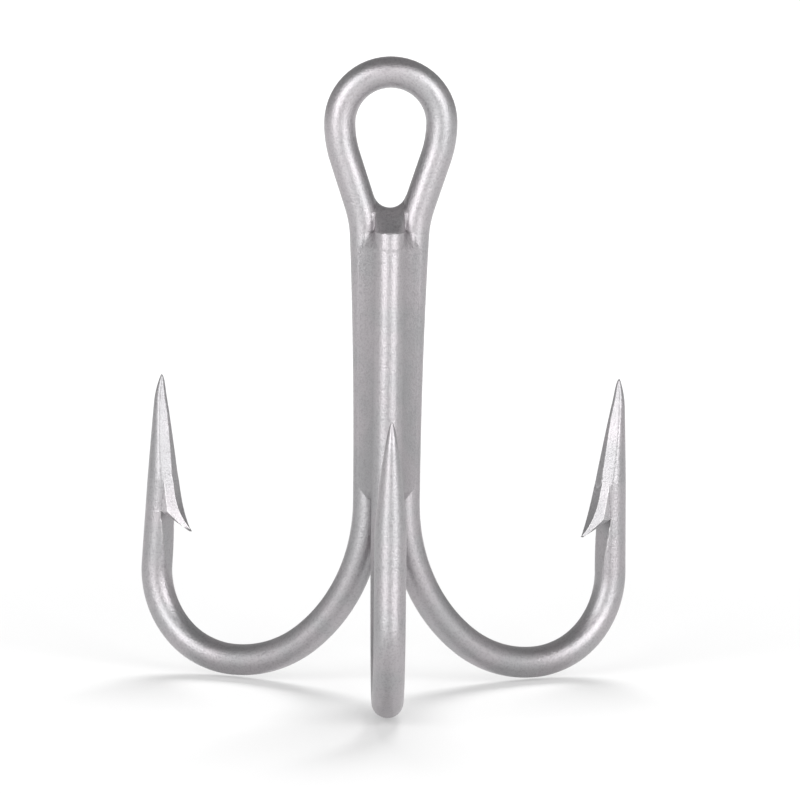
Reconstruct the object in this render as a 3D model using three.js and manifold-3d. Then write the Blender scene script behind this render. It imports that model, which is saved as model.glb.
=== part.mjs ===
// Treble fishing hook, made the way the real one is: one long wire bent into two hooks and
// an eye, a second shorter wire bent into a third hook, and brazing filler that joins the
// three shanks. Millimetres, +Z up. The origin is the centre of the eye's round loop, the
// shank hangs down -Z, the single hook points to -Y and the eye lies in the plane Y = 0.

import * as THREE from 'three';
import { mergeVertices } from 'three/addons/utils/BufferGeometryUtils.js';
import Module from 'manifold-3d';

const wasm = await Module();
wasm.setup();

// ---- driving dimensions ----

const wireDiameter = 2.4;
const eyeRadius = 3.9;            // wire centre line, round top of the eye
const eyeSideRadius = 8.4;        // where the loop turns into its straight limbs
const eyeLimbAngle = 18.3;        // limbs from the vertical, degrees
const crotchRadius = 9.4;         // where the limbs turn back into the shank
const shankLength = 20.5;         // crotch to the start of the bends
const sideWireGap = 0.34;         // between the two side wires at the foot of the shank
const shankBow = 0.46;            // how much further out each of them stands at the top
const wireGap = 0.08;             // single hook's shank to each side wire
const hookAzimuth = 120;          // between two hooks, degrees
const bendArcs = [                // round stretches of one hook's bend, shank to spear
  { radius: 13.9, angle: 53.1 },
  { radius: 10.52, angle: 36.9 },
  { radius: 7.74, angle: 22 },
  { radius: 6.49, angle: 68 },
];
// How far each point leans in over its bend, degrees: each is bent by itself, so they differ.
const spearLean = { left: 4, right: 0.7, front: 3 };
const spearLength = { left: 14.8, right: 15.1, front: 15.1 };   // straight stretch up to the point
const barbSpearLength = 15.1;     // the barb's distances are from the tip of a spear this long

// Ground faces of the point. Each starts at a distance from the tip and runs out there.
const flatStart = 8.2;            // narrow flat that faces the shank
const sideStart = 8.4;            // the two faces beside it
const sideRoll = 45;              // their turn round the wire from the flat, degrees
const taperStart = 7.5;           // the point narrows sideways too
const backStart = 2.3;            // the back curves in at the very tip
const backDepth = 0.57;
const tipThickness = 0.1;
const tipHalfWidth = 0.15;

const barbRoot = { along: 10.8, depth: 0.6 };   // notch under the barb, from the tip
const barbTip = { along: 12.2, height: 1.4 };   // free end, above the wire's surface
const barbTipThickness = 0.16;
const barbHalfWidth = 1.0;
const barbTipHalfWidth = 0.2;
const barbCutEnd = 15.5;                        // where the knife entered the wire

const brazeGap = 0.02;            // filler to wire, so that touching solids stay apart
const brazeShoulder = 14;         // degrees from the outer tangent where the filler meets a wire
const brazeContact = 9;           // degrees left free beside the line where two wires touch
const brazeSag = 0.1;             // how far the filler's face is hollow
const brazeFoot = 1.2;            // filler ends this far above the start of the bends
const shankTopBevel = { front: 0.45, back: 0.85 };   // single hook's cut top, above the crotch
const saddleInset = 0.25;         // filler between the limbs, in from the wires' front and back
const saddleHeight = 2.9;         // its hollow top, above the crotch
const saddleHollow = 0.7;
const rampHeight = 2.1;           // filler slopes from the single hook's top back to the saddle
const rampToe = 0.15;             // thickness of its front edge, and how far in that edge lies

const wireSides = 16;
const wireStep = 1.1;
const fillerLayers = 10;
const arcChords = 4;

// ---- helpers ----

const wireRadius = wireDiameter / 2;
const shankHalfSpacing = wireRadius + sideWireGap / 2;
const saddleHalfDepth = wireRadius - saddleInset;
const radians = THREE.MathUtils.degToRad;
const up = new THREE.Vector3(0, 0, 1);

// A plane route of straight and round stretches, walked from its start.
class Route {
  constructor(start, heading) {
    this.end = start.clone();
    this.heading = heading.clone().normalize();
    this.stretches = [];
    this.length = 0;
  }

  straight(length) {
    this.add(length, (s, from, heading) => from.addScaledVector(heading, s));
    return this;
  }

  // Turns towards `side` by an angle, or away from it when the angle is negative.
  turn(radius, degrees, side) {
    const angle = Math.abs(radians(degrees));
    const inward = side.clone().multiplyScalar(Math.sign(degrees));
    inward.addScaledVector(this.heading, -inward.dot(this.heading)).normalize();
    const heading = this.heading.clone();
    this.add(radius * angle, (s, from) => {
      const turned = s / radius;
      from.addScaledVector(heading, radius * Math.sin(turned));
      return from.addScaledVector(inward, radius * (1 - Math.cos(turned)));
    });
    this.heading.multiplyScalar(Math.cos(angle)).addScaledVector(inward, Math.sin(angle));
    return this;
  }

  add(length, walk) {
    const from = this.end.clone();
    const heading = this.heading.clone();
    const pointAt = (s) => walk(s, from.clone(), heading);
    this.stretches.push({ begin: this.length, length, pointAt });
    this.length += length;
    this.end = pointAt(length);
  }

  pointAt(distance) {
    const last = this.stretches.length - 1;
    const stretch = this.stretches.find((each, i) => i === last || distance <= each.begin + each.length);
    return stretch.pointAt(distance - stretch.begin);
  }
}

class WireCurve extends THREE.Curve {
  constructor(length, pointAt) {
    super();
    this.wireLength = length;
    this.pointAlong = pointAt;
  }

  getPoint(t, target = new THREE.Vector3()) {
    return target.copy(this.pointAlong(t * this.wireLength));
  }
}

function sweepWire(curve, radius) {
  const section = new THREE.Shape();
  for (let side = 0; side < wireSides; side++) {
    const angle = (2 * Math.PI * side) / wireSides;
    const point = [radius * Math.cos(angle), radius * Math.sin(angle)];
    if (side === 0) section.moveTo(...point);
    else section.lineTo(...point);
  }
  section.closePath();
  const steps = Math.ceil(curve.wireLength / wireStep);
  return new THREE.ExtrudeGeometry(section, { steps, extrudePath: curve, bevelEnabled: false });
}

function toSolid(geometry) {
  const bare = geometry.clone();
  bare.deleteAttribute('normal');
  bare.deleteAttribute('uv');
  const merged = mergeVertices(bare, 1e-5);
  return new wasm.Manifold(new wasm.Mesh({
    numProp: 3,
    vertProperties: Float32Array.from(merged.attributes.position.array),
    triVerts: Uint32Array.from(merged.index.array),
  }));
}

function toGeometry(solid) {
  const mesh = solid.getMesh();
  const geometry = new THREE.BufferGeometry();
  geometry.setAttribute('position', new THREE.BufferAttribute(mesh.vertProperties, 3));
  geometry.setIndex(new THREE.BufferAttribute(mesh.triVerts, 1));
  return geometry;
}

// ---- routes of the wires ----

const bowAngle = THREE.MathUtils.radToDeg(2 * Math.atan(shankBow / shankLength));
const bowRadius = shankLength / Math.sin(radians(bowAngle));
const shankTopHalfSpacing = shankHalfSpacing + shankBow;

// Treble axis: the three shanks stand round it, behind it the two side wires.
const axisY = -shankHalfSpacing / Math.tan(radians(180 - hookAzimuth));

function outward(azimuth) {
  return new THREE.Vector3(-Math.sin(radians(azimuth)), -Math.cos(radians(azimuth)), 0);
}

// The bend keeps turning to the side that lies square to its heading in the hook's plane.
function addBend(route, outwardDirection, which) {
  const planeNormal = new THREE.Vector3().crossVectors(up, outwardDirection);
  bendArcs.forEach(({ radius, angle }, i) => {
    const turned = i === bendArcs.length - 1 ? angle + spearLean[which] : angle;
    route.turn(radius, turned, new THREE.Vector3().crossVectors(route.heading, planeNormal));
  });
  return route.straight(spearLength[which]);
}

// Half of the double hook's wire, from the top of the eye to the right; the left one is mirrored.
function sideWireHalf(which) {
  const middle = new THREE.Vector3(-1, 0, 0);
  const down = new THREE.Vector3(0, 0, -1);
  const sideTurn = eyeRadius - eyeSideRadius * (1 - Math.cos(radians(eyeLimbAngle)));
  const crotchTurn = crotchRadius * (Math.cos(radians(bowAngle)) - Math.cos(radians(eyeLimbAngle)));
  const limb = (sideTurn - crotchTurn - shankTopHalfSpacing) / Math.sin(radians(eyeLimbAngle));
  const route = new Route(new THREE.Vector3(0, 0, eyeRadius), new THREE.Vector3(1, 0, 0));
  route.turn(eyeRadius, 90, down);
  route.turn(eyeSideRadius, eyeLimbAngle, middle);
  route.straight(limb);
  route.turn(crotchRadius, -(eyeLimbAngle - bowAngle), middle);
  const crotchHeight = route.end.z;
  route.turn(bowRadius, -bowAngle, middle);
  const shankFoot = route.end.clone();
  addBend(route, outward(-hookAzimuth), which);
  return { route, crotchHeight, shankFoot };
}

const { route: rightRoute, crotchHeight, shankFoot } = sideWireHalf('right');
const { route: leftRoute } = sideWireHalf('left');

const doubleHookCurve = new WireCurve(leftRoute.length + rightRoute.length, (distance) => {
  if (distance >= leftRoute.length) return rightRoute.pointAt(distance - leftRoute.length);
  const point = leftRoute.pointAt(leftRoute.length - distance);
  return point.setX(-point.x);
});

// Half the space between the side wires at a height on the shank.
function halfSpacingAt(z) {
  const climbed = Math.max(z - shankFoot.z, 0);
  return shankHalfSpacing + bowRadius - Math.sqrt(bowRadius ** 2 - climbed ** 2);
}

// The single hook's shank lies in the groove between the side wires.
function grooveY(z) {
  return -Math.sqrt((wireDiameter + wireGap) ** 2 - halfSpacingAt(z) ** 2);
}

// The wire starts above its sloped top, which is cut later.
const singleTop = crotchHeight + shankTopBevel.back + wireRadius;
const singleShankLength = singleTop - shankFoot.z;
const singleBend = addBend(
  new Route(new THREE.Vector3(0, grooveY(shankFoot.z), shankFoot.z), new THREE.Vector3(0, 0, -1)),
  outward(0),
  'front',
);
const singleHookCurve = new WireCurve(singleShankLength + singleBend.length, (distance) => {
  if (distance > singleShankLength) return singleBend.pointAt(distance - singleShankLength);
  const z = singleTop - distance;
  return new THREE.Vector3(0, grooveY(z), z);
});

// ---- point and barb, in the spear's own frame ----
// x points to the shank, z runs from the tip down the wire, y is square to the hook's plane.

function spearFrame(curve, atEnd) {
  const tip = curve.getPoint(atEnd ? 1 : 0);
  const inner = curve.getPoint(atEnd ? 1 - 1e-3 : 1e-3);
  const along = inner.sub(tip).normalize();
  const level = new THREE.Vector3(-tip.x, axisY - tip.y, 0);
  const inward = level.addScaledVector(along, -level.dot(along)).normalize();
  const across = new THREE.Vector3().crossVectors(along, inward);
  return new THREE.Matrix4().makeBasis(inward, across, along).setPosition(tip);
}

// The four kinds of ground face: where each runs out, its depth at the tip and its turn
// round the wire from the side that faces the shank.
const tipFlatHeight = backDepth + tipThickness - wireRadius;
const sideDepth = wireRadius - (tipFlatHeight + tipThickness / 2) * Math.cos(radians(sideRoll));
const flatFace = { start: flatStart, depth: wireRadius - tipFlatHeight };
const sideFace = { start: sideStart, depth: sideDepth };
const taperFace = { start: taperStart, depth: wireRadius - tipHalfWidth };
const backFace = { start: backStart, depth: backDepth };

// A block whose lower face is one ground face. It can run on past the start, clear of the
// wire, to trim what stands out there.
function groundFace({ start, depth }, roll, runOn = 0) {
  const length = start + wireDiameter;
  const block = new THREE.BoxGeometry(wireDiameter, 3 * wireDiameter, length + runOn);
  block.translate(wireDiameter / 2, 0, (runOn - length) / 2);
  block.rotateY(Math.atan(depth / start));
  block.translate(wireRadius, 0, start);
  block.rotateZ(radians(roll));
  return block;
}

function barbBlock() {
  const outline = new THREE.Shape();
  const tipHeight = wireRadius + barbTip.height;
  outline.moveTo(wireRadius - barbRoot.depth, flatStart);
  outline.lineTo(wireRadius - barbRoot.depth / 8, flatStart);
  outline.quadraticCurveTo(
    wireRadius + barbTip.height / 6, (flatStart + barbRoot.along) / 2,
    tipHeight, barbTip.along - barbTipThickness,
  );
  outline.lineTo(tipHeight, barbTip.along);
  outline.lineTo(wireRadius - barbRoot.depth, barbRoot.along);
  outline.closePath();
  const block = new THREE.ExtrudeGeometry(outline, {
    depth: 2 * barbHalfWidth, bevelEnabled: false, curveSegments: arcChords,
  });
  return block.translate(0, 0, -barbHalfWidth).rotateX(Math.PI / 2);
}

// Seen from the shank the barb is a blunt arrowhead.
function barbPlan() {
  const plan = new THREE.Shape();
  plan.moveTo(-barbHalfWidth / 2, flatStart);
  plan.lineTo(barbHalfWidth / 2, flatStart);
  plan.lineTo(barbHalfWidth, barbRoot.along);
  plan.lineTo(barbTipHalfWidth, barbTip.along);
  plan.lineTo(-barbTipHalfWidth, barbTip.along);
  plan.lineTo(-barbHalfWidth, barbRoot.along);
  plan.closePath();
  const height = wireRadius + 2 * barbTip.height;
  const block = new THREE.ExtrudeGeometry(plan, { depth: height, bevelEnabled: false });
  return block.rotateX(Math.PI / 2).rotateZ(Math.PI / 2);
}

// The wedge that the barb knife opened, from the notch to where the knife went in.
function barbCut() {
  const outline = new THREE.Shape();
  outline.moveTo(wireRadius - barbRoot.depth, barbRoot.along);
  outline.lineTo(wireRadius + barbTip.height, barbRoot.along);
  outline.lineTo(wireRadius + barbTip.height, barbCutEnd);
  outline.lineTo(wireRadius, barbCutEnd);
  outline.closePath();
  const block = new THREE.ExtrudeGeometry(outline, { depth: 2 * wireDiameter, bevelEnabled: false });
  return block.translate(0, 0, -wireDiameter).rotateX(Math.PI / 2);
}

// The side faces are ground last, along the point and the barb in one stroke.
function sharpen(solid, frame, which) {
  const place = (geometry) => toSolid(geometry.applyMatrix4(frame));
  const placeBarb = (geometry) => place(geometry.translate(0, 0, spearLength[which] - barbSpearLength));
  const strokeEnd = barbTip.along + wireRadius - sideStart;
  let result = solid.subtract(placeBarb(barbCut()));
  result = result.add(placeBarb(barbBlock()).intersect(placeBarb(barbPlan())));
  result = result.subtract(place(groundFace(flatFace, 0)));
  result = result.subtract(place(groundFace(backFace, 180)));
  for (const way of [-1, 1]) {
    result = result.subtract(place(groundFace(sideFace, way * sideRoll, strokeEnd)));
    result = result.subtract(place(groundFace(taperFace, way * 90)));
  }
  return result;
}

// ---- the two hooks ----

function buildDoubleHook() {
  let solid = toSolid(sweepWire(doubleHookCurve, wireRadius));
  solid = sharpen(solid, spearFrame(doubleHookCurve, false), 'left');
  solid = sharpen(solid, spearFrame(doubleHookCurve, true), 'right');
  return toGeometry(solid);
}

// The top of the single hook's shank is cut off, a little lower at the front.
function topCutter(lift) {
  const rise = shankTopBevel.back - shankTopBevel.front;
  const block = new THREE.BoxGeometry(4 * wireDiameter, 4 * wireDiameter, 2 * wireDiameter);
  block.translate(0, 0, wireDiameter);
  block.rotateX(Math.atan(rise / wireDiameter));
  const middle = crotchHeight + (shankTopBevel.front + shankTopBevel.back) / 2;
  return toSolid(block.translate(0, grooveY(crotchHeight), middle + lift));
}

function buildSingleHook() {
  const wire = toSolid(sweepWire(singleHookCurve, wireRadius)).subtract(topCutter(0));
  return toGeometry(sharpen(wire, spearFrame(singleHookCurve, true), 'front'));
}

// ---- brazing filler ----

function onCircle(centre, degrees, radius) {
  const angle = radians(degrees);
  return new THREE.Vector2(centre.x + radius * Math.cos(angle), centre.y + radius * Math.sin(angle));
}

// Points round a wire from one angle to another, whose chords stay clear of the metal.
function wireArc(centre, from, to, chords = arcChords) {
  const step = (to - from) / chords;
  const reach = (wireRadius + brazeGap) / Math.cos(radians(step / 2));
  return Array.from({ length: chords + 1 }, (_, i) => onCircle(centre, from + step * i, reach));
}

function directionDegrees(from, to) {
  return THREE.MathUtils.radToDeg(Math.atan2(to.y - from.y, to.x - from.x));
}

function hollowMiddle(a, b) {
  const across = b.clone().sub(a);
  const inward = new THREE.Vector2(-across.y, across.x).normalize();
  return a.clone().add(b).multiplyScalar(0.5).addScaledVector(inward, brazeSag);
}

// Filler in the groove outside two wires that touch, `first` to `second` anticlockwise.
function grooveSection(first, second) {
  const line = directionDegrees(first, second);
  const lower = wireArc(first, line - 90 + brazeShoulder, line - brazeContact);
  const upper = wireArc(second, line - 180 + brazeContact, line - 90 - brazeShoulder);
  return [...lower, ...upper, hollowMiddle(upper.at(-1), lower[0])].reverse();
}

// Filler behind the single hook: it fills the core and the wide groove between the side wires.
function rearSection(left, right, front) {
  const toFront = directionDegrees(right, front) + 360;
  const rightArc = wireArc(right, 90 + brazeShoulder, toFront - brazeContact, 2 * arcChords);
  const mirror = (point) => new THREE.Vector2(-point.x, point.y);
  const toRight = directionDegrees(front, right);
  const frontArc = wireArc(front, toRight + brazeContact, 180 - toRight - brazeContact);
  const leftArc = rightArc.map(mirror).reverse();
  const hollow = new THREE.Vector2(0, rightArc[0].y - brazeSag);
  return [...rightArc, ...frontArc, ...leftArc, hollow].reverse();
}

// A closed solid through sections of equal point count, one above the other.
function loft(sections, heights) {
  const count = sections[0].length;
  const positions = [];
  sections.forEach((section, layer) => {
    for (const point of section) positions.push(point.x, point.y, heights[layer]);
  });
  const index = [];
  for (let layer = 0; layer < sections.length - 1; layer++) {
    for (let i = 0; i < count; i++) {
      const a = layer * count + i;
      const b = layer * count + ((i + 1) % count);
      index.push(a, b, b + count, a, b + count, a + count);
    }
  }
  const top = (sections.length - 1) * count;
  for (const [a, b, c] of THREE.ShapeUtils.triangulateShape(sections[0], [])) index.push(c, b, a);
  for (const [a, b, c] of THREE.ShapeUtils.triangulateShape(sections.at(-1), [])) {
    index.push(top + a, top + b, top + c);
  }
  const geometry = new THREE.BufferGeometry();
  geometry.setAttribute('position', new THREE.Float32BufferAttribute(positions, 3));
  geometry.setIndex(index);
  return geometry;
}

function buildFiller(sectionOf) {
  const bottom = shankFoot.z + brazeFoot;
  const heights = Array.from({ length: fillerLayers + 1 }, (_, layer) =>
    bottom + ((crotchHeight - bottom) * layer) / fillerLayers);
  const sections = heights.map((z) => {
    const half = halfSpacingAt(z);
    const left = new THREE.Vector2(-half, 0);
    const right = new THREE.Vector2(half, 0);
    const front = new THREE.Vector2(0, grooveY(z));
    return sectionOf(left, right, front);
  });
  if (THREE.ShapeUtils.area(sections[0]) < 0) sections.forEach((section) => section.reverse());
  return loft(sections, heights);
}

// The slope of filler over the single hook's top, up to the front of the saddle.
function rampBlock(bottom) {
  const front = grooveY(crotchHeight) - wireRadius + rampToe;
  const back = saddleInset - saddleHalfDepth;
  const outline = new THREE.Shape();
  outline.moveTo(back, bottom);
  outline.lineTo(front, bottom);
  outline.lineTo(front, crotchHeight + shankTopBevel.front + rampToe);
  outline.lineTo(back, crotchHeight + rampHeight);
  outline.closePath();
  const block = new THREE.ExtrudeGeometry(outline, { depth: wireDiameter, bevelEnabled: false });
  block.rotateY(Math.PI / 2).rotateX(Math.PI / 2).translate(-wireRadius, 0, 0);
  const plan = new THREE.Shape();
  plan.moveTo(wireRadius, back);
  plan.lineTo(-wireRadius, back);
  plan.absarc(0, grooveY(crotchHeight), wireRadius, Math.PI, 2 * Math.PI);
  plan.closePath();
  const column = new THREE.ExtrudeGeometry(plan, {
    depth: 3 * rampHeight, bevelEnabled: false, curveSegments: wireSides,
  });
  return toSolid(block).intersect(toSolid(column.translate(0, 0, bottom - rampHeight)));
}

// Filler that bridges the limbs of the eye above the crotch, with a hollow top.
function buildSaddle() {
  const bottom = crotchHeight + brazeGap;
  const top = crotchHeight + saddleHeight;
  const slope = Math.tan(radians(eyeLimbAngle));
  const halfTop = shankTopHalfSpacing + slope * saddleHeight * 0.55;
  const outline = new THREE.Shape();
  outline.moveTo(-shankTopHalfSpacing, bottom);
  outline.lineTo(shankTopHalfSpacing, bottom);
  outline.lineTo(halfTop, top);
  outline.quadraticCurveTo(0, top - 2 * saddleHollow, -halfTop, top);
  outline.closePath();
  const block = new THREE.ExtrudeGeometry(outline, {
    depth: 2 * saddleHalfDepth, bevelEnabled: false, curveSegments: 2 * arcChords,
  });
  block.translate(0, 0, -saddleHalfDepth).rotateX(Math.PI / 2);
  const clear = wireRadius + brazeGap;
  const frontWire = toSolid(sweepWire(singleHookCurve, clear)).subtract(topCutter(brazeGap));
  const filled = toSolid(block).add(rampBlock(bottom));
  return toGeometry(filled.subtract(toSolid(sweepWire(doubleHookCurve, clear))).subtract(frontWire));
}

// ---- materials and assembly ----

const tinnedSteel = { color: 0xb4b0b2, roughness: 0.42, metalness: 0.9 };
const brazeFiller = { color: 0xa09c9e, roughness: 0.5, metalness: 0.85 };

const trebleHook = new THREE.Group();
trebleHook.name = 'treble_hook';

function addPart(name, geometry, look) {
  geometry.computeVertexNormals();
  const mesh = new THREE.Mesh(geometry, new THREE.MeshStandardMaterial(look));
  mesh.name = name;
  trebleHook.add(mesh);
}

addPart('double_hook', buildDoubleHook(), tinnedSteel);
addPart('single_hook', buildSingleHook(), tinnedSteel);
addPart('braze_fillet_left', buildFiller((left, right, front) => grooveSection(left, front)), brazeFiller);
addPart('braze_fillet_right', buildFiller((left, right, front) => grooveSection(front, right)), brazeFiller);
addPart('braze_fillet_rear', buildFiller(rearSection), brazeFiller);
addPart('braze_eye_saddle', buildSaddle(), brazeFiller);

export default trebleHook;
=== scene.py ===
import math

import bmesh
import bpy
import numpy as np
from mathutils import Matrix, Vector


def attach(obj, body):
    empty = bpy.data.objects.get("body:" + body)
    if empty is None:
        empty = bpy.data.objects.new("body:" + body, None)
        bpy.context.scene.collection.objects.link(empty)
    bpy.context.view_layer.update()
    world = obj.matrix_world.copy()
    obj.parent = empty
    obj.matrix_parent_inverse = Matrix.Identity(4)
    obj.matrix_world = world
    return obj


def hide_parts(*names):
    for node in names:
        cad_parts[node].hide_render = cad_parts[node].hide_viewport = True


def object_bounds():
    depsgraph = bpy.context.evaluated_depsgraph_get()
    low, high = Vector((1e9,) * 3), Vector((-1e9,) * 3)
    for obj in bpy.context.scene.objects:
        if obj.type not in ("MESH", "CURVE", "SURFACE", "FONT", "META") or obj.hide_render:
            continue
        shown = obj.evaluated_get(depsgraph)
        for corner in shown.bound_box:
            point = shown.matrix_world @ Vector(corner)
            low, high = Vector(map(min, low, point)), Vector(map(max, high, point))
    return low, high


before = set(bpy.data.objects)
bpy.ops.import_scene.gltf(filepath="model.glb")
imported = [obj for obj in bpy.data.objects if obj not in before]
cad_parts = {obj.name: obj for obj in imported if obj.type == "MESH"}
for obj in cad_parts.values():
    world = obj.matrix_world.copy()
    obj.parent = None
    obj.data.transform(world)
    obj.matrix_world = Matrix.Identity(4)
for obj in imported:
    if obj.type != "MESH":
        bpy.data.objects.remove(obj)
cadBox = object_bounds()
mm = 0.001


class Value:
    # One output socket, usable in Python sums.
    def __init__(self, tree, socket):
        self.tree = tree
        self.socket = socket

    def math(self, operation, *others):
        inputs = {i: each for i, each in enumerate((self, *others))}
        return self.tree.node("ShaderNodeMath", {"operation": operation}, inputs)[0]

    def __add__(self, other):
        return self.math("ADD", other)

    def __sub__(self, other):
        return self.math("SUBTRACT", other)

    def __rsub__(self, other):
        return self.math("MULTIPLY_ADD", -1.0, other)

    def __mul__(self, other):
        return self.math("MULTIPLY", other)

    def __truediv__(self, other):
        return self.math("DIVIDE", other)

    def __pow__(self, other):
        return self.math("POWER", other)

    __radd__ = __add__
    __rmul__ = __mul__

    def sqrt(self):
        return self.math("SQRT")

    def abs(self):
        return self.math("ABSOLUTE")

    def atLeast(self, other):
        return self.math("MAXIMUM", other)

    def atMost(self, other):
        return self.math("MINIMUM", other)

    def below(self, other):
        return self.math("LESS_THAN", other)

    def blendLow(self, other, reach):
        return self.math("SMOOTH_MIN", other, reach)

    def blendHigh(self, other, reach):
        return self.math("SMOOTH_MAX", other, reach)

    def ease(self, low, high, toLow=0.0, toHigh=1.0):
        return self.tree.node("ShaderNodeMapRange", {"interpolation_type": "SMOOTHSTEP"}, {
            "Value": self, "From Min": low, "From Max": high, "To Min": toLow, "To Max": toHigh})["Result"]


class Tree:
    def __init__(self, tree):
        self.tree = tree

    def node(self, kind, settings=None, inputs=None):
        made = self.tree.nodes.new(kind)
        for name, setting in (settings or {}).items():
            if name == "stops":
                ramp = made.color_ramp
                while len(ramp.elements) < len(setting):
                    ramp.elements.new(0.5)
                for element, (place, colour) in zip(ramp.elements, setting):
                    element.position = place
                    element.color = colour
            else:
                setattr(made, name, setting)
        for name, given in (inputs or {}).items():
            socket = made.inputs[name]
            if isinstance(given, Value):
                self.tree.links.new(given.socket, socket)
            else:
                socket.default_value = given
        return Outputs(self, made)

    def vector(self, operation, *given):
        return self.node("ShaderNodeVectorMath", {"operation": operation}, dict(enumerate(given)))


class Outputs:
    def __init__(self, tree, made):
        self.tree = tree
        self.made = made

    def __getitem__(self, key):
        return Value(self.tree, self.made.outputs[key])


def geometryTree(name, sizes):
    group = bpy.data.node_groups.new(name, "GeometryNodeTree")
    group.interface.new_socket("Geometry", in_out="INPUT", socket_type="NodeSocketGeometry")
    group.interface.new_socket("Geometry", in_out="OUTPUT", socket_type="NodeSocketGeometry")
    kinds = {int: "NodeSocketInt", float: "NodeSocketFloat"}
    for label, size in sizes.items():
        group.interface.new_socket(label, in_out="INPUT", socket_type=kinds[type(size)])
    group.interface.new_socket("Material", in_out="INPUT", socket_type="NodeSocketMaterial")
    tree = Tree(group)
    return tree, tree.node("NodeGroupInput")


def finishTree(tree, shape, given):
    smooth = tree.node("GeometryNodeSetShadeSmooth", {}, {"Geometry": shape})["Geometry"]
    real = tree.node("GeometryNodeRealizeInstances", {}, {"Geometry": smooth})["Geometry"]
    finish = tree.node("GeometryNodeSetMaterial", {}, {"Geometry": real, "Material": given["Material"]})
    tree.node("NodeGroupOutput", {}, {"Geometry": finish["Geometry"]})
    return tree.tree


def plainMesh(piece):
    # What the modifiers make becomes the piece's own mesh.
    depsgraph = bpy.context.evaluated_depsgraph_get()
    made = bpy.data.meshes.new_from_object(piece.evaluated_get(depsgraph))
    piece.modifiers.clear()
    piece.data = made
    made.name = piece.name
    return piece


def grow(piece, group, sizes):
    modifier = piece.modifiers.new(group.name, "NODES")
    modifier.node_group = group
    for item in group.interface.items_tree:
        if item.in_out == "INPUT" and item.name in sizes:
            modifier[item.identifier] = sizes[item.name]
    return plainMesh(piece)


def newPiece(name, vertices=(), edges=(), faces=()):
    mesh = bpy.data.meshes.new(name)
    mesh.from_pydata([tuple(each) for each in vertices], edges, faces)
    piece = bpy.data.objects.new(name, mesh)
    bpy.context.scene.collection.objects.link(piece)
    return piece


# Sizes and depths of grain and mottling are in millimetres.
tinFinish = {
    "base": (0.435, 0.415, 0.43, 1.0), "cool": (0.40, 0.395, 0.405, 1.0), "worn": (0.56, 0.55, 0.555, 1.0),
    "roughness": 0.38, "patch": 0.05, "grainRoughness": 0.10,
    "grainSize": 0.16, "grainDepth": 0.028, "mottleSize": 0.42, "mottleDepth": 0.008,
}
fillerFinish = {
    "base": (0.425, 0.405, 0.42, 1.0), "cool": (0.385, 0.38, 0.39, 1.0), "worn": (0.44, 0.425, 0.435, 1.0),
    "roughness": 0.45, "patch": 0.06, "grainRoughness": 0.14,
    "grainSize": 0.17, "grainDepth": 0.036, "mottleSize": 0.55, "mottleDepth": 0.018,
}
# Edge wear on the ridges, and painted shade that darkens the hollows and corners.
wearAndShadeLook = {
    "ridgeStart": 0.04, "ridgeFull": 0.5, "smoother": 0.06,
    "hollowShade": 0.45, "hollowColour": (0.55, 0.53, 0.54, 1.0), "rougher": 0.1,
    "patchSize": 3.4, "speckle": 0.5, "speckleColour": (0.7, 0.69, 0.7, 1.0),
}


def tinMaterial(name, look):
    material = bpy.data.materials.new(name)
    material.use_nodes = True
    material.node_tree.nodes.clear()
    tree = Tree(material.node_tree)
    place = tree.node("ShaderNodeTexCoord")["Object"]

    def noise(size, detail, roughness=0.5):
        return tree.node("ShaderNodeTexNoise", {}, {
            "Vector": place, "Scale": 1 / (size * mm), "Detail": detail, "Roughness": roughness})["Fac"]

    grain = noise(look["grainSize"], 3.0, 0.6)
    mottle = noise(look["mottleSize"], 2.0)
    patches = noise(wearAndShadeLook["patchSize"], 2.0)
    edge = tree.node("ShaderNodeAttribute", {"attribute_name": "edge"})["Fac"]
    wear = edge.ease(wearAndShadeLook["ridgeStart"], wearAndShadeLook["ridgeFull"])
    # Painted shade: hollows and corners are darkened in colour, and also made rougher.
    hollows = edge.ease(-wearAndShadeLook["ridgeStart"], -wearAndShadeLook["ridgeFull"])
    tone = tree.node("ShaderNodeMix", {"data_type": "RGBA"}, {
        0: patches.ease(0.38, 0.64), 6: look["base"], 7: look["cool"]})[2]
    worn = tree.node("ShaderNodeMix", {"data_type": "RGBA"}, {
        0: wear * (0.35 + 0.65 * mottle), 6: tone, 7: look["worn"]})[2]
    colour = tree.node("ShaderNodeMix", {"data_type": "RGBA", "blend_type": "MULTIPLY"}, {
        0: hollows * wearAndShadeLook["hollowShade"], 6: worn, 7: wearAndShadeLook["hollowColour"]})[2]
    speckled = tree.node("ShaderNodeMix", {"data_type": "RGBA", "blend_type": "MULTIPLY"}, {
        0: grain.ease(0.52, 0.38, 0.0, wearAndShadeLook["speckle"]), 6: colour, 7: wearAndShadeLook["speckleColour"]})[2]
    uneven = look["patch"] * (patches - 0.5) * 2 + look["grainRoughness"] * (grain - 0.5) * 2
    roughness = look["roughness"] + uneven - wear * wearAndShadeLook["smoother"] + hollows * wearAndShadeLook["rougher"]
    low = tree.node("ShaderNodeBump", {}, {
        "Strength": 1.0, "Distance": look["mottleDepth"] * mm, "Height": mottle})["Normal"]
    fine = tree.node("ShaderNodeBump", {}, {
        "Strength": 1.0, "Distance": look["grainDepth"] * mm, "Height": grain, "Normal": low})["Normal"]
    shader = tree.node("ShaderNodeBsdfPrincipled", {}, {
        "Base Color": speckled, "Metallic": 1.0, "Roughness": roughness, "Normal": fine})
    tree.node("ShaderNodeOutputMaterial", {}, {"Surface": shader["BSDF"]})
    return material


tinnedWire = tinMaterial("tinned_wire", tinFinish)
brazeFiller = tinMaterial("braze_filler", fillerFinish)
print("finishes ready")


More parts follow.
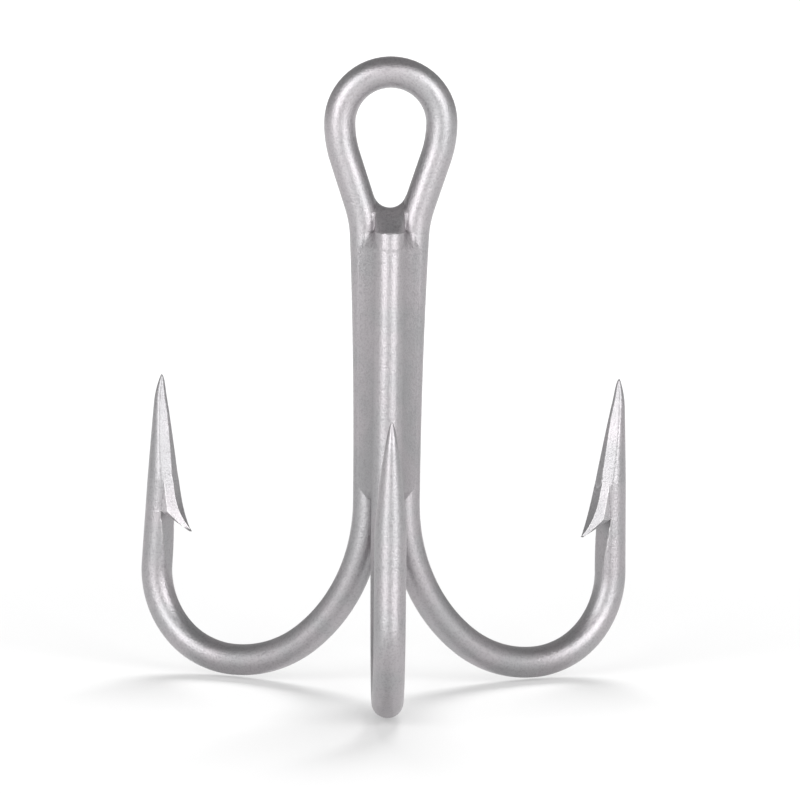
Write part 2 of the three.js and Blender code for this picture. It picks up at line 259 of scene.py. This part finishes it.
# The routes of the wires, in millimetres.
wire = {
    "radius": 1.2, "sides": 96,
    "eyeRadius": 3.9, "eyeSideRadius": 8.4, "limbAngle": 18.3, "crotchRadius": 9.4,
    "shankLength": 20.5, "sideGap": 0.34, "bow": 0.46, "frontGap": 0.08,
    "bendArcs": ((13.9, 53.1), (10.52, 36.9), (7.74, 22.0), (6.49, 68.0)),
    "hookAzimuth": 120, "spearLength": {"left": 14.8, "right": 15.1, "front": 15.1},
    "lean": {"left": 4.0, "right": 0.7, "front": 3.0},
    "topBevel": (0.45, 0.85),
    "barbShift": {"left": 0.3, "right": 0.0, "front": 0.0},
}
# The ground point: the rule of its section, by the distance from the tip.
spear = {
    "Flat At Tip": -0.52, "Flat Slope": 0.21,             # narrow face towards the shank
    "Side At Tip": -0.52, "Side Slope": 0.2637,           # the faces rolled 45 degrees beside it
    "Back Start": 2.3, "Back Depth": 0.4,                 # the back curves in at the very tip
    "Round Start": 8.0, "Round Power": 0.6,               # the round back narrows to the point
    "Knife Root": 10.8, "Knife Depth": 0.6, "Knife End": 15.5,
    "Edge Round": 0.07,
}
ruleReach = 17.0         # the rule shapes the wire up to here
farFromPoint = 60.0      # only shank wire is further than this from a point
# Ring spacing up to each distance from the tip.
ringPaces = ((0.9, 0.03), (8.6, 0.08), (17.1, 0.14), (math.inf, 0.42))
bowAngle = 2 * math.atan(wire["bow"] / wire["shankLength"])
bowRadius = wire["shankLength"] / math.sin(bowAngle)
halfFoot = wire["radius"] + wire["sideGap"] / 2
halfTop = halfFoot + wire["bow"]
axisY = -halfFoot / math.tan(math.radians(180 - wire["hookAzimuth"]))
down = np.array([0.0, 0.0, -1.0])
upward = np.array([0.0, 0.0, 1.0])


class Route:
    # A plane path of straight and round stretches, walked from its start.
    def __init__(self, start, heading):
        self.end = np.array(start, float)
        self.heading = np.array(heading, float)
        self.stretches = []
        self.length = 0.0

    def add(self, length, walk):
        start = self.end.copy()
        self.stretches.append((self.length, length, lambda s: start + walk(s)))
        self.end = start + walk(length)
        self.length += length

    def straight(self, length):
        heading = self.heading.copy()
        self.add(length, lambda s: heading * s)

    def turn(self, radius, degrees, side):
        angle = abs(math.radians(degrees))
        heading = self.heading.copy()
        inward = np.array(side) * math.copysign(1, degrees)
        inward = inward - heading * inward.dot(heading)
        inward /= np.linalg.norm(inward)
        self.add(radius * angle, lambda s: heading * radius * math.sin(s / radius)
                 + inward * radius * (1 - math.cos(s / radius)))
        self.heading = heading * math.cos(angle) + inward * math.sin(angle)

    def pointAt(self, distance):
        for begin, length, walk in self.stretches:
            if distance <= begin + length + 1e-9:
                return walk(max(distance - begin, 0.0))
        begin, length, walk = self.stretches[-1]
        return walk(length)


def outward(azimuth):
    return np.array([-math.sin(math.radians(azimuth)), -math.cos(math.radians(azimuth)), 0.0])


def addBend(route, azimuth, which):
    normal = np.cross(upward, outward(azimuth))
    arcs = wire["bendArcs"]
    for i, (radius, angle) in enumerate(arcs):
        turned = angle + wire["lean"][which] if i == len(arcs) - 1 else angle
        route.turn(radius, turned, np.cross(route.heading, normal))
    route.straight(wire["spearLength"][which])


def sideRoute(which):
    # From the top of the eye to the right point.
    limbAngle = math.radians(wire["limbAngle"])
    middle = np.array([-1.0, 0.0, 0.0])
    sideTurn = wire["eyeRadius"] - wire["eyeSideRadius"] * (1 - math.cos(limbAngle))
    crotchTurn = wire["crotchRadius"] * (math.cos(bowAngle) - math.cos(limbAngle))
    route = Route((0, 0, wire["eyeRadius"]), (1, 0, 0))
    route.turn(wire["eyeRadius"], 90, down)
    route.turn(wire["eyeSideRadius"], wire["limbAngle"], middle)
    route.straight((sideTurn - crotchTurn - halfTop) / math.sin(limbAngle))
    route.turn(wire["crotchRadius"], -(wire["limbAngle"] - math.degrees(bowAngle)), middle)
    crotch = route.end[2]
    route.turn(bowRadius, -math.degrees(bowAngle), middle)
    foot = route.end[2]
    addBend(route, -wire["hookAzimuth"], which)
    return route, crotch, foot


rightRoute, crotchZ, footZ = sideRoute("right")
leftRoute, crotchZ, footZ = sideRoute("left")


def halfSpacing(z):
    climbed = max(z - footZ, 0.0)
    return halfFoot + bowRadius - math.sqrt(bowRadius ** 2 - climbed ** 2)


def grooveY(z):
    reach = 2 * wire["radius"] + wire["frontGap"]
    return -math.sqrt(reach ** 2 - halfSpacing(z) ** 2)


def steps(length, shift=0.0):
    # Distances from the point: close together on the ground faces, wider on plain wire.
    places = [0.0]
    while places[-1] < length:
        s = places[-1]
        places.append(s + next(pace for end, pace in ringPaces if s < end))
    root = spear["Knife Root"] - shift
    places = [s for s in places if s < length - 0.1 and abs(s - root) > 0.05] + [root - 0.01, root, length]
    return np.array(sorted(places))


def endFrame(route):
    along = -route.heading
    level = np.array([-route.end[0], axisY - route.end[1], 0.0])
    inward = level - along * level.dot(along)
    inward /= np.linalg.norm(inward)
    return route.end, inward, np.cross(along, inward), along


def spearFrame(route, mirrored=False):
    tip, inward, across, along = endFrame(route)
    if mirrored:
        flip = np.array([-1.0, 1.0, 1.0])
        tip, inward, along = tip * flip, inward * flip, along * flip
        across = np.cross(along, inward)
    return tip, inward, across, along


def walkBack(route, s, frameOfTip, flip=(1, 1, 1)):
    # A place on the wire, with the tip's frame turned along with the wire.
    place, before, after = (route.pointAt(route.length - s + step) * flip for step in (0.0, 0.02, -0.02))
    tip, _, across, _ = frameOfTip
    along = (after - before) / np.linalg.norm(after - before)
    return place, (tip, np.cross(across, along), across, along)


def routePiece(name, points, fromTip, frames, shifts):
    piece = newPiece(name, np.array(points) * mm, [(i, i + 1) for i in range(len(points) - 1)])
    mesh = piece.data
    mesh.attributes.new("fromTip", "FLOAT", "POINT").data.foreach_set("value", np.array(fromTip, "f"))
    mesh.attributes.new("barbShift", "FLOAT", "POINT").data.foreach_set("value", np.array(shifts, "f"))
    inward = np.array([each[1] for each in frames], "f").ravel()
    across = np.array([each[2] for each in frames], "f").ravel()
    centre = (np.array(points, "f") * mm).ravel()
    for label, numbers in (("inward", inward), ("across", across), ("centre", centre)):
        mesh.attributes.new(label, "FLOAT_VECTOR", "POINT").data.foreach_set("vector", numbers)
    return piece


def doubleRoute():
    points, fromTip, frames, shifts = [], [], [], []
    leftFrame, rightFrame = spearFrame(leftRoute, mirrored=True), spearFrame(rightRoute)
    left = steps(leftRoute.length, wire["barbShift"]["left"])
    right = steps(rightRoute.length)[::-1][1:]
    halves = (
        (leftRoute, left, leftFrame, (-1, 1, 1), "left"),
        (rightRoute, right, rightFrame, (1, 1, 1), "right"),
    )
    for route, places, frameOfTip, flip, which in halves:
        for s in places:
            place, turned = walkBack(route, s, frameOfTip, flip)
            points.append(place)
            fromTip.append(s)
            frames.append(turned)
            shifts.append(wire["barbShift"][which])
    return routePiece("double_hook_wire", points, fromTip, frames, shifts), (leftFrame, rightFrame)


def singleRoute():
    bend = Route((0, grooveY(footZ), footZ), down)
    addBend(bend, 0, "front")
    tipFrame = spearFrame(bend)
    top = crotchZ + wire["topBevel"][1] + 0.05
    shank = np.concatenate([np.linspace(footZ, crotchZ, 40)[1:-1], np.linspace(crotchZ, top, 30)])
    fromTip = steps(bend.length)
    points, frames = map(list, zip(*(walkBack(bend, s, tipFrame) for s in fromTip)))
    points += [np.array([0, grooveY(z), z]) for z in shank]
    frames += [tipFrame] * len(shank)
    fromTip = list(fromTip) + list(bend.length + shank - footZ)
    shifts = [wire["barbShift"]["front"]] * len(points)
    return routePiece("single_hook_wire", points, fromTip, frames, shifts), tipFrame


topSlope = (wire["topBevel"][1] - wire["topBevel"][0]) / (2 * wire["radius"])


def buildWireTree():
    sizes = dict(spear)
    sizes.update({
        "Wire Radius": wire["radius"], "Sides": wire["sides"],
        "Top Y": 0.0, "Top Height": 0.0, "Top Slope": 0.0})
    tree, given = geometryTree("wireWithGroundPoint", sizes)
    radius = given["Wire Radius"]
    curve = tree.node("GeometryNodeMeshToCurve", {}, {"Mesh": given["Geometry"]})["Curve"]
    ring = tree.node("GeometryNodeCurvePrimitiveCircle", {}, {
        "Resolution": given["Sides"], "Radius": radius * mm})["Curve"]
    tube = tree.node("GeometryNodeCurveToMesh", {}, {
        "Curve": curve, "Profile Curve": ring, "Fill Caps": True})["Mesh"]

    def stored(label, kind="FLOAT_VECTOR"):
        attribute = tree.node("GeometryNodeInputNamedAttribute", {"data_type": kind}, {"Name": label})
        return attribute["Attribute"]

    s = stored("fromTip", "FLOAT")
    inward, across, centre = stored("inward"), stored("across"), stored("centre")
    offset = tree.vector("SUBTRACT", tree.node("GeometryNodeInputPosition")["Position"], centre)["Vector"]
    cosine = tree.vector("DOT_PRODUCT", offset, inward)["Value"] / (radius * mm)
    sine = tree.vector("DOT_PRODUCT", offset, across)["Value"] / (radius * mm)

    closing = (1 - s / given["Back Start"]).atLeast(0.0)
    back = given["Back Depth"] * closing * closing - radius
    bow = (radius * (s / given["Round Start"]).atMost(1.0) ** given["Round Power"]).atLeast(0.035)
    barbS = s + stored("barbShift", "FLOAT")
    knife = radius - given["Knife Depth"] + given["Knife Depth"] * (barbS - given["Knife Root"]) / (
        given["Knife End"] - given["Knife Root"])
    ground = given["Flat At Tip"] + given["Flat Slope"] * s
    isKnife = 1 - barbS.below(given["Knife Root"] - 0.005)
    flat = isKnife * knife + (1 - isKnife) * ground
    side = given["Side At Tip"] + given["Side Slope"] * s
    middle = back + bow.atMost((flat - back) * 0.5)
    roundCentre = back + bow
    shift = middle - roundCentre
    roundReach = (bow * bow - shift * shift * sine * sine).atLeast(0.0).sqrt() - shift * cosine
    flatReach = (flat - middle) / cosine.atLeast(0.02)
    sideReach = (side - middle) / (cosine + sine.abs()).atLeast(0.02)
    softness = given["Edge Round"] * (s / 1.5).atMost(1.0)
    reach = roundReach.blendLow(flatReach.blendLow(sideReach, softness), softness)
    alongInward = tree.vector("SCALE", inward)
    tree.tree.links.new(((middle + reach * cosine) * mm).socket, alongInward.made.inputs["Scale"])
    alongAcross = tree.vector("SCALE", across)
    tree.tree.links.new((reach * sine * mm).socket, alongAcross.made.inputs["Scale"])
    groundPlace = tree.vector("ADD", tree.vector(
        "ADD", centre, alongInward["Vector"])["Vector"], alongAcross["Vector"])["Vector"]
    pointed = tree.node("GeometryNodeSetPosition", {}, {
        "Geometry": tube, "Selection": s.below(ruleReach), "Position": groundPlace})["Geometry"]

    parts = tree.node("ShaderNodeSeparateXYZ", {}, {0: tree.node("GeometryNodeInputPosition")["Position"]})
    ceiling = given["Top Height"] * mm + (parts["Y"] - given["Top Y"] * mm) * given["Top Slope"]
    cutPlace = tree.node("ShaderNodeCombineXYZ", {}, {
        "X": parts["X"], "Y": parts["Y"], "Z": parts["Z"].atMost(ceiling)})["Vector"]
    # Only the single hook has a cut top, so the double hook is given no slope.
    isTop = (1 - s.below(farFromPoint)) * (1 - given["Top Slope"].below(0.001))
    cut = tree.node("GeometryNodeSetPosition", {}, {
        "Geometry": pointed, "Selection": isTop, "Position": cutPlace})["Geometry"]
    merged = tree.node("GeometryNodeMergeByDistance", {}, {"Geometry": cut, "Distance": 1e-6})["Geometry"]
    return finishTree(tree, merged, given), sizes


# The barb: a chip raised by the knife.
barb = {
    "start": 7.9, "root": 10.8, "end": 12.2, "rootHeight": 0.6, "tipHeight": 2.6,
    "back": ((8.2, 1.14), (9.2, 1.36), (10.4, 1.74), (11.2, 2.08), (12.2, 2.68)),
    "halfWidths": ((7.9, 0.84), (8.6, 0.97), (10.8, 1.04), (12.2, 0.16)),
    "sections": 72, "hidden": 0.3, "sinkBefore": 8.5, "sink": 0.1, "curlStart": 10,
    "curl": {"left": 0.045, "right": 0.0, "front": 0.02},
}


def supported(section, margin=0.05):
    # Extra points near both ends of each side keep the edge wear narrow.
    points = []
    for start, end in zip(section, section[1:] + section[:1]):
        start, end = np.array(start), np.array(end)
        length = max(np.linalg.norm(end - start), 1e-6)
        inset = min(margin / length, 0.3)
        points += [start, start + (end - start) * inset, (start + end) / 2, end + (start - end) * inset]
    return points


def barbChip(name, frameOfPoint, which):
    tip, inward, across, along = frameOfPoint
    curl, shift = barb["curl"][which], wire["barbShift"][which]
    heights = np.polyfit(*np.array(barb["back"]).T, 3)
    rings = []
    tipHeight = barb["tipHeight"] + curl * (barb["end"] - barb["curlStart"]) ** 2
    for s in np.linspace(barb["start"], barb["end"], barb["sections"]):
        raised = curl * max(s - barb["curlStart"], 0) ** 2
        high = np.polyval(heights, s) + raised - barb["sink"] * max(barb["sinkBefore"] - s, 0)
        half = np.interp(s, *np.array(barb["halfWidths"]).T)
        low = barb["hidden"] if s <= barb["root"] else np.interp(
            s, (barb["root"], barb["end"]), (barb["rootHeight"], tipHeight))
        low = min(low, high - 0.05)
        limit = spear["Side At Tip"] + spear["Side Slope"] * (s - shift) + raised
        crest = min(max(limit - high, 0.05), half)
        eave = max(min(limit - half, high), low + 0.02)
        section = [(-half, low), (-half, eave), (-crest, high), (crest, high), (half, eave), (half, low)]
        rings.append([tip + along * (s - shift) + inward * i + across * n for n, i in supported(section)])
    count = len(rings[0])
    vertices = np.array(rings).reshape(-1, 3) * mm
    faces = [tuple(range(count)), tuple(range((len(rings) - 1) * count, len(rings) * count))[::-1]]
    for ring in range(len(rings) - 1):
        for i in range(count):
            a, b = ring * count + i, ring * count + (i + 1) % count
            faces.append((a, a + count, b + count, b))
    chip = newPiece(name, vertices, faces=faces)
    fixNormals(chip)
    return chip


def fixNormals(piece):
    shape = bmesh.new()
    shape.from_mesh(piece.data)
    bmesh.ops.recalc_face_normals(shape, faces=shape.faces)
    shape.to_mesh(piece.data)
    shape.free()


def join(piece, others):
    for other in others:
        modifier = piece.modifiers.new("join", "BOOLEAN")
        modifier.operation = "UNION"
        modifier.solver = "MANIFOLD"
        modifier.object = other
    plainMesh(piece)
    for other in others:
        bpy.data.objects.remove(other)


ridgeAngle = 0.2


def markEdges(mesh):
    # How sharp the metal is at each point: positive on ridges, negative in corners.
    shape = bmesh.new()
    shape.from_mesh(mesh)
    sharp = np.zeros(len(shape.verts), "f")
    for edge in shape.edges:
        if len(edge.link_faces) == 2:
            bend = edge.calc_face_angle_signed(0.0)
            if abs(bend) > ridgeAngle:
                for point in edge.verts:
                    if abs(bend) > abs(sharp[point.index]):
                        sharp[point.index] = bend
    shape.free()
    mesh.attributes.new("edge", "FLOAT", "POINT").data.foreach_set("value", sharp)


def finishPiece(piece, material, sharpAngle):
    mesh = piece.data
    markEdges(mesh)
    mesh.materials.clear()
    mesh.materials.append(material)
    mesh.polygons.foreach_set("material_index", np.zeros(len(mesh.polygons), "i"))
    mesh.polygons.foreach_set("use_smooth", np.ones(len(mesh.polygons), bool))
    mesh.set_sharp_from_angle(angle=math.radians(sharpAngle))
    for label in ("fromTip", "barbShift", "inward", "across", "centre"):
        if label in mesh.attributes:
            mesh.attributes.remove(mesh.attributes[label])
    mesh.update()


wireSharpAngle, fillerSharpAngle = 30, 60
wireGroup, wireSizes = buildWireTree()
doubleHook, (leftFrame, rightFrame) = doubleRoute()
grow(doubleHook, wireGroup, dict(wireSizes, Material=tinnedWire))
fixNormals(doubleHook)
print("double hook swept", len(doubleHook.data.polygons))
join(doubleHook, [barbChip("barb_left", leftFrame, "left"), barbChip("barb_right", rightFrame, "right")])
finishPiece(doubleHook, tinnedWire, wireSharpAngle)
print("double hook ready", len(doubleHook.data.polygons))

singleHook, frontFrame = singleRoute()
topY = grooveY(crotchZ)
topHeight = crotchZ + sum(wire["topBevel"]) / 2
grow(singleHook, wireGroup, dict(wireSizes, Material=tinnedWire, **{
    "Top Y": topY, "Top Height": topHeight, "Top Slope": topSlope}))
fixNormals(singleHook)
join(singleHook, [barbChip("barb_front", frontFrame, "front")])
finishPiece(singleHook, tinnedWire, wireSharpAngle)
print("single hook ready", len(singleHook.data.polygons))


# The brazing filler, in millimetres.
filler = {
    "Inset": 0.1, "Sag": 0.06, "Rear Sag": 0.2, "Meniscus": 0.42,
    "Foot Low": -1.0, "Foot High": 1.4, "Foot Recess": 1.0,
    "Shoulder": 0.22,
    "Saddle Half Depth": 0.95, "Saddle Bottom": 2.2, "Saddle Round": 1.25, "Saddle Blend": 0.45,
    "Ramp Slope": 0.8,
    "Lumps": 0.09,
}
# Where each part of the filler ends, above the crotch unless it says otherwise.
fillerEnds = {
    "shoulderStart": -0.9, "shoulderEnd": 0.5, "bandTop": 0.5, "bandRound": 0.9,
    "rearTop": 0.6, "rearRound": 1.0, "saddleBottom": -1.5, "saddleRound": 0.7,
    "rampBottom": -0.6, "rampSideInset": 0.12,
    "limbBareStart": 2.2, "limbBareEnd": 3.1, "limbBareInset": 0.4,
    "lumpsStart": -2.5, "lumpsEnd": -0.3, "top": 3.6, "aboveFoot": 0.35,
}
lumpSize = 0.8
fillerVoxel = 0.08


def fillerTree():
    tree, given = geometryTree("brazeAroundShanks", filler)
    radius, ends = wire["radius"], fillerEnds
    place = tree.node("GeometryNodeInputPosition")["Position"]
    parts = tree.node("ShaderNodeSeparateXYZ", {}, {0: place})
    x, y, z = parts["X"] / mm, parts["Y"] / mm, parts["Z"] / mm
    climbed = (z - footZ).atLeast(0.0)
    shankSpacing = halfFoot + climbed * climbed / (2 * bowRadius)
    shankHalf = shankSpacing.atMost(halfTop)
    above = (z - crotchZ).atLeast(0.0)
    sine = math.sin(bowAngle) + above / wire["crotchRadius"]
    cosine = (1 - sine * sine).sqrt()
    limbHalf = shankHalf + wire["crotchRadius"] * (math.cos(bowAngle) - cosine)
    reach = 2 * radius + wire["frontGap"]
    grooveDepth = (reach ** 2 - shankSpacing * shankSpacing).atLeast(0.01).sqrt()

    sideOff = (x.abs() - limbHalf) * cosine
    side = (sideOff * sideOff + y * y).sqrt() - radius
    frontOff = y + grooveDepth
    cap = (z - topHeight - (y - topY) * topSlope) * math.cos(math.atan(topSlope))
    front = ((x * x + frontOff * frontOff).sqrt() - radius).atLeast(cap)
    wires = side.atMost(front) + given["Inset"] + above.ease(
        ends["limbBareStart"], ends["limbBareEnd"], 0.0, ends["limbBareInset"])

    # The filler slopes up from the round front edge of the single hook's top.
    behindFront = frontOff + radius
    roundFront = radius - (radius ** 2 - x * x).atLeast(0.0).sqrt()
    slopeReach = behindFront - roundFront * behindFront.ease(0.3, 1.7, 1.0, 0.0)
    rampSlope = math.cos(math.atan(filler["Ramp Slope"]))
    rampFace = (z - crotchZ - wire["topBevel"][0] - slopeReach * given["Ramp Slope"]) * rampSlope
    saddleFace = (z - crotchZ - wire["topBevel"][0] - behindFront * given["Ramp Slope"]) * rampSlope

    # Flush filler: the flat band that touches two wires, a little hollow between them.
    lumps = tree.node("ShaderNodeTexNoise", {}, {
        "Vector": place, "Scale": 1 / (lumpSize * mm), "Detail": 1.5})["Fac"]
    unevenness = (lumps - 0.5) * given["Lumps"] * z.ease(
        crotchZ + ends["lumpsStart"], crotchZ + ends["lumpsEnd"], 0.3, 1.0)
    footRecess = (1 - climbed.ease(given["Foot Low"], given["Foot High"])) * given["Foot Recess"]
    shoulderRecess = z.ease(
        crotchZ + ends["shoulderStart"], crotchZ + ends["shoulderEnd"], 0.0, 1.0) * given["Shoulder"]
    span = limbHalf * limbHalf + grooveDepth * grooveDepth
    across = ((x.abs() * limbHalf + frontOff * grooveDepth) / span).atLeast(0.0).atMost(1.0)
    bandX = x.abs() - across * limbHalf
    bandY = frontOff - across * grooveDepth
    band = (bandX * bandX + bandY * bandY).sqrt() - radius + across * (1 - across) * 4 * given["Sag"]
    band = band + given["Inset"] * 0.6 + footRecess + shoulderRecess - unevenness.atMost(0.02)
    band = band.blendHigh(z - crotchZ - ends["bandTop"], ends["bandRound"])
    centred = (x / limbHalf).atMost(1.0).atLeast(-1.0)
    rear = y.abs() - radius + (1 - centred * centred) * given["Rear Sag"] + footRecess * 0.8 - unevenness
    rear = rear.atLeast(x.abs() - limbHalf).blendHigh(z - crotchZ - ends["rearTop"], ends["rearRound"])

    hollow = crotchZ + given["Saddle Bottom"] + given["Saddle Round"] - (
        given["Saddle Round"] * given["Saddle Round"] - x * x).atLeast(0.0).sqrt()
    saddle = (y.abs() - given["Saddle Half Depth"]).blendHigh(z - hollow, ends["saddleRound"])
    saddle = saddle.atLeast(x.abs() - limbHalf).atLeast(crotchZ + ends["saddleBottom"] - z)
    rampSide = (x * x + frontOff.atMost(0.0) * frontOff.atMost(0.0)).sqrt() - radius + ends["rampSideInset"]
    ramp = rampFace.blendHigh(rampSide, 0.1).atLeast(crotchZ + ends["rampBottom"] - z).atLeast(y)
    top = saddle.blendHigh(saddleFace, 0.3).blendLow(ramp.blendHigh(z - hollow, 0.5), 0.2) - unevenness * 0.5
    fill = band.blendLow(rear, 0.3)
    body = wires.blendLow(fill, given["Meniscus"]).blendLow(top, given["Saddle Blend"])
    body = body.atLeast(footZ + ends["aboveFoot"] - z).atLeast(z - crotchZ - ends["top"])

    low = (-3.9, -3.4, footZ)
    high = (3.9, 1.6, crotchZ + 4.0)
    counts = [int((b - a) / fillerVoxel) for a, b in zip(low, high)]
    volume = tree.node("GeometryNodeVolumeCube", {}, {
        "Density": 0.5 - body, "Min": tuple(v * mm for v in low), "Max": tuple(v * mm for v in high),
        "Resolution X": counts[0], "Resolution Y": counts[1], "Resolution Z": counts[2]})["Volume"]
    mesh = tree.node("GeometryNodeVolumeToMesh", {}, {"Volume": volume, "Threshold": 0.5})["Mesh"]
    return finishTree(tree, mesh, given)


brazeSkin = newPiece("braze_filler_skin")
grow(brazeSkin, fillerTree(), dict(filler, Material=brazeFiller))
fixNormals(brazeSkin)
finishPiece(brazeSkin, brazeFiller, fillerSharpAngle)
print("filler ready", len(brazeSkin.data.polygons))

pieces = (
    (doubleHook, "tinned_wire", ("double_hook",)),
    (singleHook, "tinned_wire", ("single_hook",)),
    (brazeSkin, "braze_filler", (
        "braze_fillet_left", "braze_fillet_right", "braze_fillet_rear", "braze_eye_saddle")),
)
for piece, slot, nodes in pieces:
    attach(piece, "root")
    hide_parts(*nodes)


studio = {
    "floorSize": 6.0, "floorDrop": 0.0002, "floorTone": 0.5,
    "floorGlow": 0.51, "glowNear": 0.63, "glowFar": 1.12,
    "overhead": 0.34, "sides": 0.60, "behind": 0.46,
    "panel": {"elevation": 20, "distance": 0.6, "size": (0.38, 0.5), "power": 1.95},
    "panelAzimuths": {"panel_left": -35, "panel_right": 35},
    "sun": {"azimuth": 172, "elevation": 46, "width": 30, "power": 2.9},
}
view = {
    "distance": 0.653233, "elevation": 7.006, "azimuth": -1.039, "roll": -0.68,
    "target": (0.00095, 0.0, -0.021046), "lens": 383.3,
}


def direction(azimuth, elevation):
    # Azimuth 0 is straight in front of the hook, positive towards +X.
    a, e = math.radians(azimuth), math.radians(elevation)
    return Vector((math.sin(a) * math.cos(e), -math.cos(a) * math.cos(e), math.sin(e)))


def placeLight(name, azimuth, look, target):
    light = bpy.data.lights.new(name, "AREA")
    light.shape = "RECTANGLE"
    light.size, light.size_y = look["size"]
    light.energy = look["power"]
    lamp = bpy.data.objects.new(name, light)
    bpy.context.scene.collection.objects.link(lamp)
    away = direction(azimuth, look["elevation"])
    lamp.location = target + away * look["distance"]
    lamp.rotation_euler = away.to_track_quat("Z", "Y").to_euler()
    return lamp


def makeFloor():
    half = studio["floorSize"] / 2
    z = cadBox[0][2] - studio["floorDrop"]
    corners = [(-half, -half, z), (half, -half, z), (half, half, z), (-half, half, z)]
    floor = newPiece("floor", corners, faces=[(0, 1, 2, 3)])
    material = bpy.data.materials.new("pale_floor")
    material.use_nodes = True
    material.node_tree.nodes.clear()
    tree = Tree(material.node_tree)
    tone = studio["floorTone"]
    # Painted light: the floor glows, weaker near the hook and stronger further away, making up for lamp
    # light that falls off with distance.
    parts = tree.node("ShaderNodeSeparateXYZ", {}, {0: tree.node("ShaderNodeTexCoord")["Object"]})
    away = (parts["X"] * parts["X"] + parts["Y"] * parts["Y"]).sqrt()
    glow = away.ease(0.03, 0.28, studio["glowNear"], studio["glowFar"])
    shader = tree.node("ShaderNodeBsdfPrincipled", {}, {
        "Base Color": (tone, tone, tone, 1.0), "Roughness": 0.9, "Specular IOR Level": 0.1,
        "Emission Color": glow, "Emission Strength": studio["floorGlow"]})
    tree.node("ShaderNodeOutputMaterial", {}, {"Surface": shader["BSDF"]})
    floor.data.materials.append(material)


def makeWorld():
    world = bpy.data.worlds.new("studio")
    bpy.context.scene.world = world
    world.use_nodes = True
    world.node_tree.nodes.clear()
    tree = Tree(world.node_tree)
    parts = tree.node("ShaderNodeSeparateXYZ", {}, {0: tree.node("ShaderNodeTexCoord")["Generated"]})
    level = parts["Y"].ease(-0.2, 0.9, studio["sides"], studio["behind"])
    high = parts["Z"].ease(0.42, 0.86)
    level = level * (1 - high) + high * studio["overhead"]
    background = tree.node("ShaderNodeBackground", {}, {"Color": (1.0, 1.0, 1.0, 1.0), "Strength": level})
    tree.node("ShaderNodeOutputWorld", {}, {"Surface": background["Background"]})


def makeCamera():
    camera = bpy.data.cameras.new("camera")
    camera.lens = view["lens"]
    camera.sensor_width = 36.0
    camera.clip_start = 0.01
    camera.clip_end = 20.0
    seat = bpy.data.objects.new("camera", camera)
    bpy.context.scene.collection.objects.link(seat)
    back = direction(view["azimuth"], view["elevation"])
    target = Vector(view["target"])
    a, r = math.radians(view["azimuth"]), math.radians(view["roll"])
    right = Vector((math.cos(a), math.sin(a), 0.0))
    above = back.cross(right)
    rolledRight = math.cos(r) * right - math.sin(r) * above
    rolledUp = math.sin(r) * right + math.cos(r) * above
    seat.matrix_world = Matrix((
        (rolledRight.x, rolledUp.x, back.x, 0), (rolledRight.y, rolledUp.y, back.y, 0),
        (rolledRight.z, rolledUp.z, back.z, 0), (0, 0, 0, 1)))
    seat.location = target + back * view["distance"]
    bpy.context.scene.camera = seat


def makeSun():
    look = studio["sun"]
    light = bpy.data.lights.new("soft_sun", "SUN")
    light.energy = look["power"]
    light.angle = math.radians(look["width"])
    lamp = bpy.data.objects.new("soft_sun", light)
    bpy.context.scene.collection.objects.link(lamp)
    lamp.rotation_euler = direction(look["azimuth"], look["elevation"]).to_track_quat("Z", "Y").to_euler()
    lamp.visible_glossy = False


makeFloor()
makeWorld()
lookAt = Vector(view["target"])
for name, azimuth in studio["panelAzimuths"].items():
    placeLight(name, azimuth, studio["panel"], lookAt)
makeSun()
makeCamera()
bpy.context.scene.view_settings.view_transform = "Standard"
print("studio ready")
